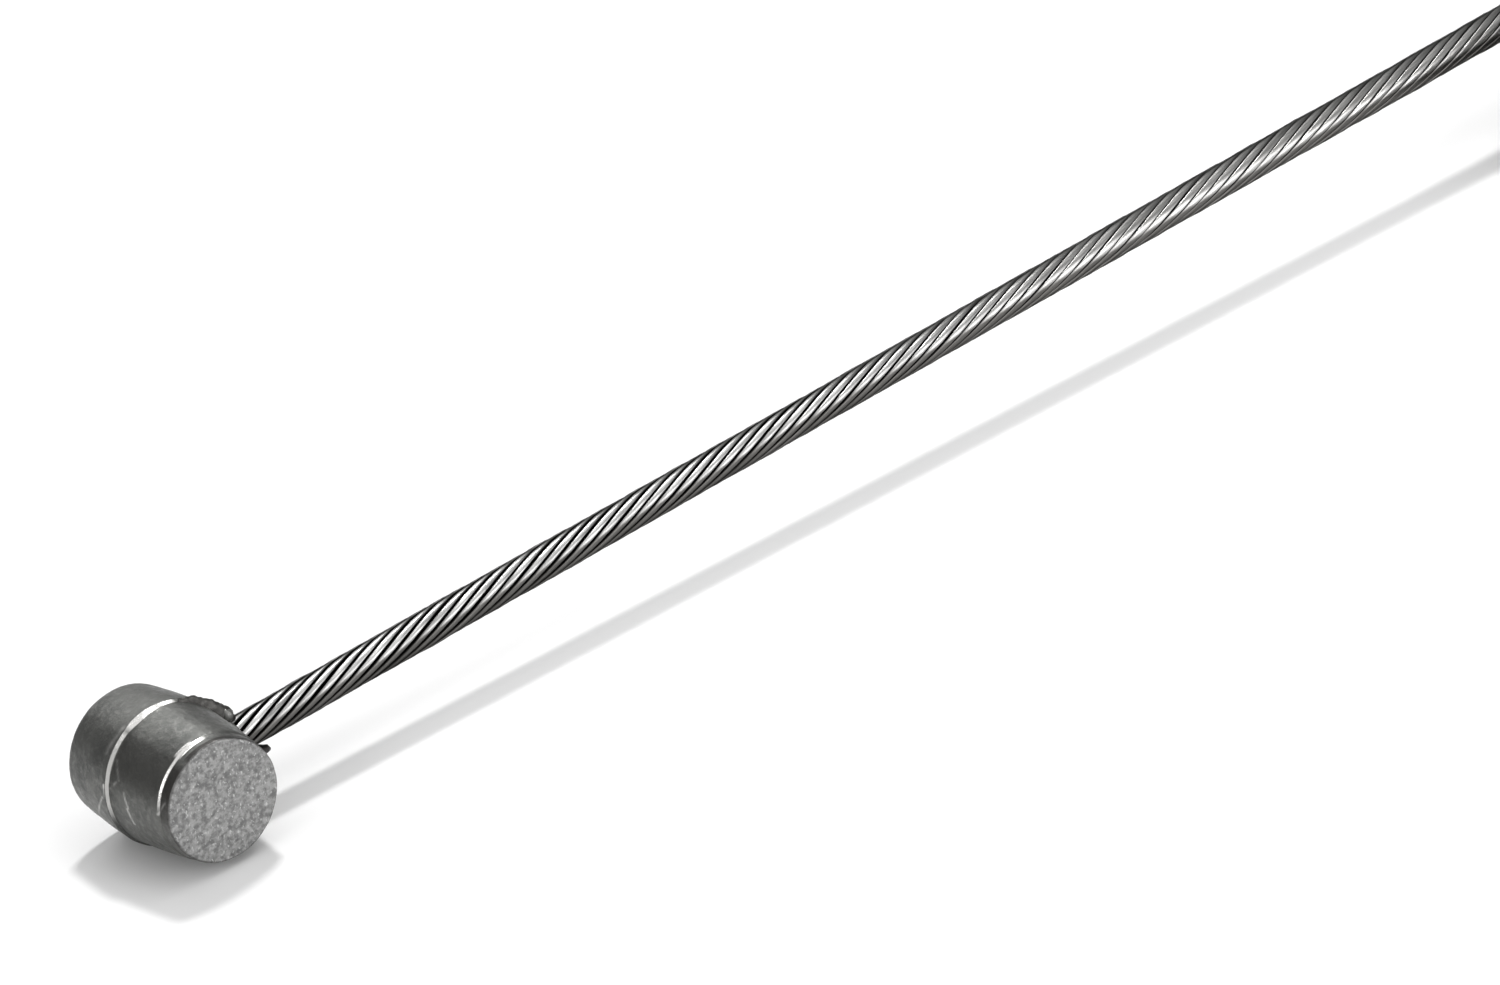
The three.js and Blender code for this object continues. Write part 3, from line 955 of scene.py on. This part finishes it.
def steel_wire():
    n = Nodes(bpy.data.materials.new("steel_wire"))
    grain, outward = n.attribute("grain"), n.attribute("outward")
    along = n.part(grain, 2)
    backward, upward = n.part(outward, 1), n.part(outward, 2)
    smoother = n.ramp(along, FLATTER[0] / mm, FLATTER[1] / mm)
    # Where the painted shade of the edge and the underside still reaches; it ends before the hank.
    painted_until_hank = n.ramp(along, *PAINTED_SHADE_UNTIL, 1.0, 0.0)
    reach = n.vector_math("LENGTH", n.scaled(grain, (1, 1, 0)), output="Value")
    crown = n.ramp(n.plus(reach, smoother, 0.035), *CROWN)
    streaks = n.noise(n.scaled(grain, (9, 9, 0.35)), 1.0, 4, 0.6)
    blotches = n.noise(n.scaled(grain, (1.6, 1.6, 0.5)), 1.0, 3)
    shade = n.ramp(n.plus(n.math("MULTIPLY", streaks, 0.55), blotches, 0.45), 0.3, 0.7)
    drawn = n.colour(shade, (0.24, 0.239, 0.236), (0.47, 0.468, 0.462))
    # The far stretch's metal is painted dimmer, as painted shade.
    flattened_painted_dimmer = n.colour(shade, (0.22, 0.218, 0.213), (0.35, 0.347, 0.34))
    metal = n.colour(smoother, drawn, flattened_painted_dimmer)
    # Painted sheen: on the far stretch, lighter where the strand faces sideways and down.
    painted_sheen = n.math("MULTIPLY", smoother, n.ramp(upward, 0.25, 0.55, 1.0, 0.0))
    metal = n.colour(painted_sheen, metal, (0.48, 0.477, 0.468))
    # Painted shade: a dark edge on the strand's back-facing side, wider further along.
    painted_edge_from = n.ramp(along, *PAINTED_EDGE_GROWS, -0.2, -0.95)
    painted_edge_up_to = n.ramp(backward, 0.15, 0.45, 1.0, 0.0)
    painted_edge = n.math("MULTIPLY", n.ramp(backward, painted_edge_from, 0.15), painted_edge_up_to)
    metal = n.colour(n.math("MULTIPLY", painted_edge, painted_until_hank), metal, (0.075, 0.075, 0.073))
    # Painted shade on the strand's underside, up to the hank.
    above = n.ramp(n.plus(upward, smoother, 0.2), 0.15, 0.42)
    free_of_painted_shade = n.math("MAXIMUM", above, n.math("SUBTRACT", 1.0, painted_until_hank))
    painted_underside_shade = n.colour(free_of_painted_shade, (0.118, 0.115, 0.11), metal)
    # The grooves between the wires and the middle get painted shade, nearly black, and fainter on
    # the far stretch's upper side.
    faint_groove_shade = n.math("MULTIPLY", smoother, n.ramp(upward, 0.42, 0.6))
    groove = n.colour(faint_groove_shade, (0.008, 0.008, 0.007), (0.18, 0.178, 0.174))
    n.set(
        Base_Color=n.colour(crown, groove, painted_underside_shade),
        Metallic=1.0,
        Specular_Tint=(0.25, 0.25, 0.25, 1.0),
        Roughness=n.ramp(streaks, 0.3, 0.7, 0.38, 0.28),
        Normal=n.bump(streaks, 0.25, 0.02 * mm),
    )
    return n.owner


def fused_steel():
    n = Nodes(bpy.data.materials.new("fused_steel"))
    grain = n.attribute("grain")
    wander = n.noise(n.scaled(grain, (2, 2, 3)), 1.0, 3)
    place = n.plus(n.part(grain, 2), wander, 0.25)
    straw = n.colour(n.ramp(place, 0.1, 0.45), (0.42, 0.41, 0.395), (0.40, 0.35, 0.26))
    blue = n.colour(n.ramp(place, 0.45, 0.75), straw, (0.17, 0.18, 0.23))
    n.set(
        Base_Color=n.colour(n.ramp(place, 0.8, 1.05), blue, (0.26, 0.25, 0.24)),
        Metallic=1.0,
        Roughness=n.ramp(wander, 0.3, 0.7, 0.3, 0.5),
        Normal=n.bump(wander, 0.3, 0.03 * mm),
    )
    return n.owner


def black_nylon():
    n = Nodes(bpy.data.materials.new("black_nylon"))
    place = n.coordinate("Object")
    broad = n.noise(place, 900, 2)
    n.set(
        Base_Color=n.colour(broad, (0.012, 0.012, 0.013), (0.026, 0.026, 0.028)),
        Roughness=n.ramp(broad, 0.3, 0.7, 0.38, 0.5),
        Normal=n.bump(n.noise(place, 9000, 3), 0.2, 0.02 * mm),
    )
    return n.owner


def cast_zinc():
    n = Nodes(bpy.data.materials.new("cast_zinc"))
    place = n.coordinate("Object")
    finish = n.attribute("finish")
    bare, dark, face = (n.part(finish, axis) for axis in range(3))
    grit = n.noise(place, 7500, 4, 0.6)
    mottle = n.noise(place, 3000, 4, 0.65)
    pits = n.noise(place, 4500, 3, 0.6)
    patches = n.noise(place, 480, 3)
    skin = n.colour(n.ramp(patches, 0.35, 0.65), (0.085, 0.087, 0.083), (0.125, 0.127, 0.12))
    skin = n.colour(n.ramp(mottle, 0.45, 0.75), skin, (0.16, 0.16, 0.153))
    end_shade = n.ramp(n.plus(n.math("MULTIPLY", mottle, 0.35), pits, 0.65), 0.36, 0.64)
    end = n.colour(end_shade, (0.145, 0.145, 0.144), (0.32, 0.32, 0.316))
    specks = n.ramp(n.noise(n.scaled(place, (1.0, 1.0, 0.6)), 8500, 2, 0.5), 0.6, 0.72)
    end = n.colour(specks, end, (0.46, 0.46, 0.455))
    base = n.colour(face, skin, end)
    # Bright bare metal, partly painted highlight where it is set by a glint, then the dark share,
    # which on the barrel is painted shade.
    base = n.colour(bare, base, (0.85, 0.84, 0.82))
    n.set(
        Base_Color=n.colour(dark, base, (0.035, 0.033, 0.031)),
        Metallic=0.85,
        Roughness=n.plus(n.ramp(mottle, 0.3, 0.7, 0.5, 0.4), bare, -0.2),
        Normal=n.bump(n.plus(mottle, grit, 0.4), 0.5, 0.05 * mm),
    )
    return n.owner


def pale_floor():
    n = Nodes(bpy.data.materials.new("pale_floor"))
    n.set(
        Base_Color=n.colour(
            n.noise(n.coordinate("Object"), 6, 2), (0.80, 0.80, 0.80), (0.82, 0.82, 0.82)
        ),
        Roughness=0.9,
        Specular_IOR_Level=0.1,
    )
    return n.owner


# Softboxes: the direction and distance of each from the point that it shines at, its size in m,
# the brightness of its face and that point
LAMPS = {
    "key": ((0.42, 0.34, 1.0), 0.34, (0.045, 0.04), 112, (0.0, 0.0, 0.0035)),
    "top": ((0.38, -0.42, 1.0), 0.33, (0.24, 0.10), 2.4, (0.0, 0.0, 0.0035)),
    "front": ((0.30, -0.9, 0.34), 0.33, (0.24, 0.14), 3.2, (0.02, 0.0, 0.0035)),
    "low": ((0.26, -0.31, 0.045), 0.40, (0.12, 0.09), 5.0, (0.0, 0.0, 0.0035)),
    "left": ((-0.85, -0.15, 0.5), 0.4, (0.20, 0.16), 2.4, (0.0, 0.0, 0.0035)),
    "back": ((0.25, 0.85, 0.62), 0.6, (0.5, 0.22), 3.0, (0.02, 0.0, 0.0035)),
}

# The studio's walls are brightest this way and dimmest the other way
BRIGHT_WAY = (-0.3, -0.66, 0.69)
WALL_TURN = (-0.2, 0.9)
WALL_BRIGHTNESS = (0.11, 0.78)
FLOOR_HALF_SIZE = 3.0


def build_floor():
    corners = [(-1, -1, 0), (1, -1, 0), (1, 1, 0), (-1, 1, 0)]
    mesh = bpy.data.meshes.new("floor")
    mesh.from_pydata((np.array(corners) * FLOOR_HALF_SIZE).tolist(), [], [(0, 1, 2, 3)])
    mesh.materials.append(pale_floor())
    floor = bpy.data.objects.new("floor", mesh)
    bpy.context.collection.objects.link(floor)


def build_lamp(name, direction, distance, size, radiance, towards):
    data = bpy.data.lights.new(name, "AREA")
    data.shape = "RECTANGLE"
    data.size, data.size_y = size
    data.energy = radiance * math.pi * size[0] * size[1]
    lamp = bpy.data.objects.new(name, data)
    lamp.visible_camera = False
    bpy.context.collection.objects.link(lamp)
    back = Vector(direction).normalized()
    turn = back.to_track_quat("Z", "Y").to_matrix().to_4x4()
    lamp.matrix_world = Matrix.Translation(Vector(towards) + back * distance) @ turn


def build_world():
    n = Nodes(bpy.data.worlds.new("studio"), "Background")
    turned = n.vector_math("DOT_PRODUCT", n.coordinate("Generated"), BRIGHT_WAY, "Value")
    n.set(
        Color=(1, 1, 1, 1),
        Strength=n.ramp(turned, *WALL_TURN, *WALL_BRIGHTNESS, kind="LINEAR"),
    )
    bpy.context.scene.world = n.owner
    bpy.context.scene.view_settings.view_transform = "Standard"


build_camera()
line = Line(strand_line())
strand = build_strand(line, steel_wire())
tip = build_tip(line, fused_steel())
nylon = black_nylon()
ties = []
for number, (x, degrees) in enumerate(TIE_PLACES, 1):
    ties += build_tie(number, x, degrees, nylon)
build_nipple(cast_zinc())
build_floor()
for name, values in LAMPS.items():
    build_lamp(name, *values)
build_world()
